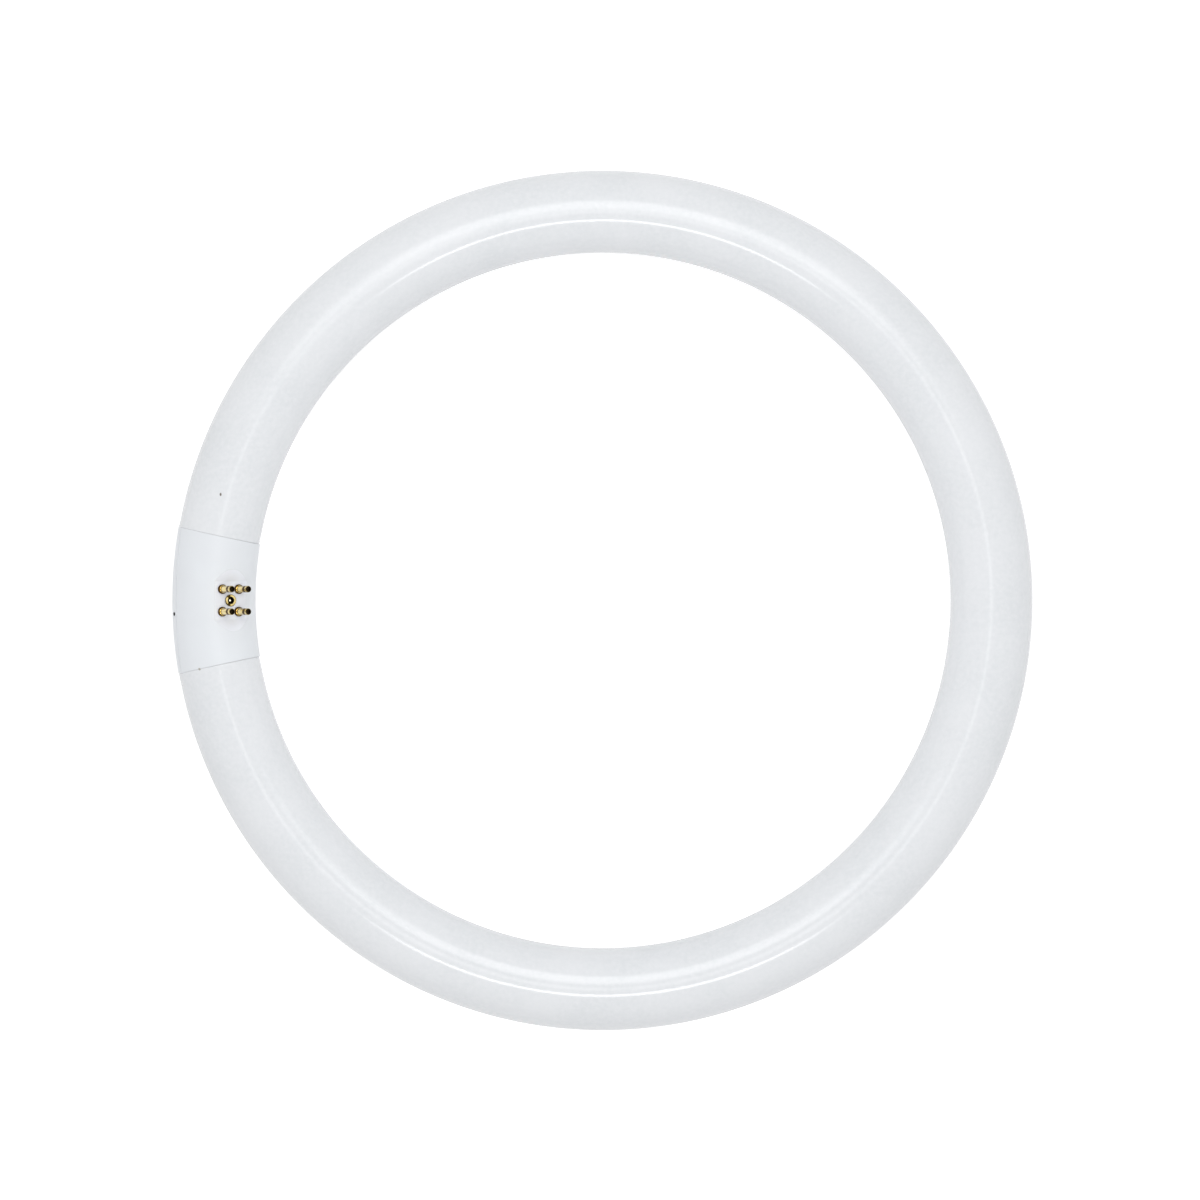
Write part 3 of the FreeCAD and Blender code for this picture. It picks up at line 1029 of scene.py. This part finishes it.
@dataclass
class Studio:
    """White paper floor, soft overhead lamps, a pale world and the camera straight above."""

    floor_size: float = 8.0
    camera_height: float = 1.7
    target_height: float = 14.75 * MM
    frame_width: float = 426.0 * MM
    sensor_width: float = 36.0
    ring_offset: tuple[float, float] = (0.96 * MM, -0.14 * MM)
    tent_colour: str = "#ffffff"
    tent_light: float = 0.745
    paper: StudioPaperFinish = StudioPaperFinish()
    lamps: tuple[SoftLamp, ...] = (
        SoftLamp(
            name="soft_box",
            tilt=math.radians(21.6),
            distance=0.99,
            length=1.1,
            width=0.6,
            radiance=2.8,
            fade=(0.45, 0.35),
        ),
        SoftLamp(
            name="strip_lamp",
            tilt=math.radians(-21.4),
            distance=0.99,
            length=0.62,
            width=0.14,
            radiance=6.5,
            fade=(0.29, 0.3),
        ),
        SoftLamp(
            name="top_lamp",
            tilt=0.0,
            distance=2.0,
            length=0.5,
            width=0.5,
            radiance=1.3,
            fade=(0.4, 0.4),
        ),
    )

    def lay_floor(self) -> None:
        """Lay the paper under the lamp."""
        half = self.floor_size / 2
        mesh = bpy.data.meshes.new("paper_floor")
        corners = [(-half, -half, 0.0), (half, -half, 0.0), (half, half, 0.0), (-half, half, 0.0)]
        mesh.from_pydata(corners, [], [(0, 1, 2, 3)])
        mesh.materials.append(self.paper.make())
        floor = bpy.data.objects.new("paper_floor", mesh)
        bpy.context.collection.objects.link(floor)
        LOG.info("paper floor: %.1f m", self.floor_size)

    def light(self) -> None:
        """Hang the lamps and set the world."""
        for lamp in self.lamps:
            lamp.hang()
        world = bpy.data.worlds.new("studio_world")
        bpy.context.scene.world = world
        world.use_nodes = True
        tree = world.node_tree
        tree.nodes.clear()
        seen = background_ray(tree, direct=1.0, mirrored=1.0)
        strength = add_node(
            tree, "ShaderNodeMath", {0: seen, 1: self.tent_light}, operation="MAXIMUM"
        ).outputs[0]
        sky = add_node(
            tree,
            "ShaderNodeBackground",
            {"Color": linear(self.tent_colour), "Strength": strength},
        )
        add_node(tree, "ShaderNodeOutputWorld", {"Surface": sky.outputs["Background"]})

    def place_camera(self) -> None:
        """Place the camera over the ring's middle."""
        data = bpy.data.cameras.new("camera")
        data.sensor_width = self.sensor_width
        data.sensor_fit = "HORIZONTAL"
        data.lens = self.sensor_width * self.camera_height / self.frame_width
        camera = bpy.data.objects.new("camera", data)
        x, y = self.ring_offset
        camera.location = (-x, -y, self.target_height + self.camera_height)
        bpy.context.collection.objects.link(camera)
        bpy.context.scene.camera = camera
        bpy.context.scene.view_settings.view_transform = "Standard"


def main() -> None:
    """Build the object and its studio, and report each piece."""
    logging.basicConfig(level=logging.INFO, format="%(name)s: %(message)s")
    ring = GlassRing()
    ring.dress(ring.build(), CoatedGlassFinish())
    RivetedCap().dress()
    studio = Studio()
    studio.lay_floor()
    studio.light()
    studio.place_camera()
    bpy.context.view_layer.update()


if __name__ == "__main__":
    main()
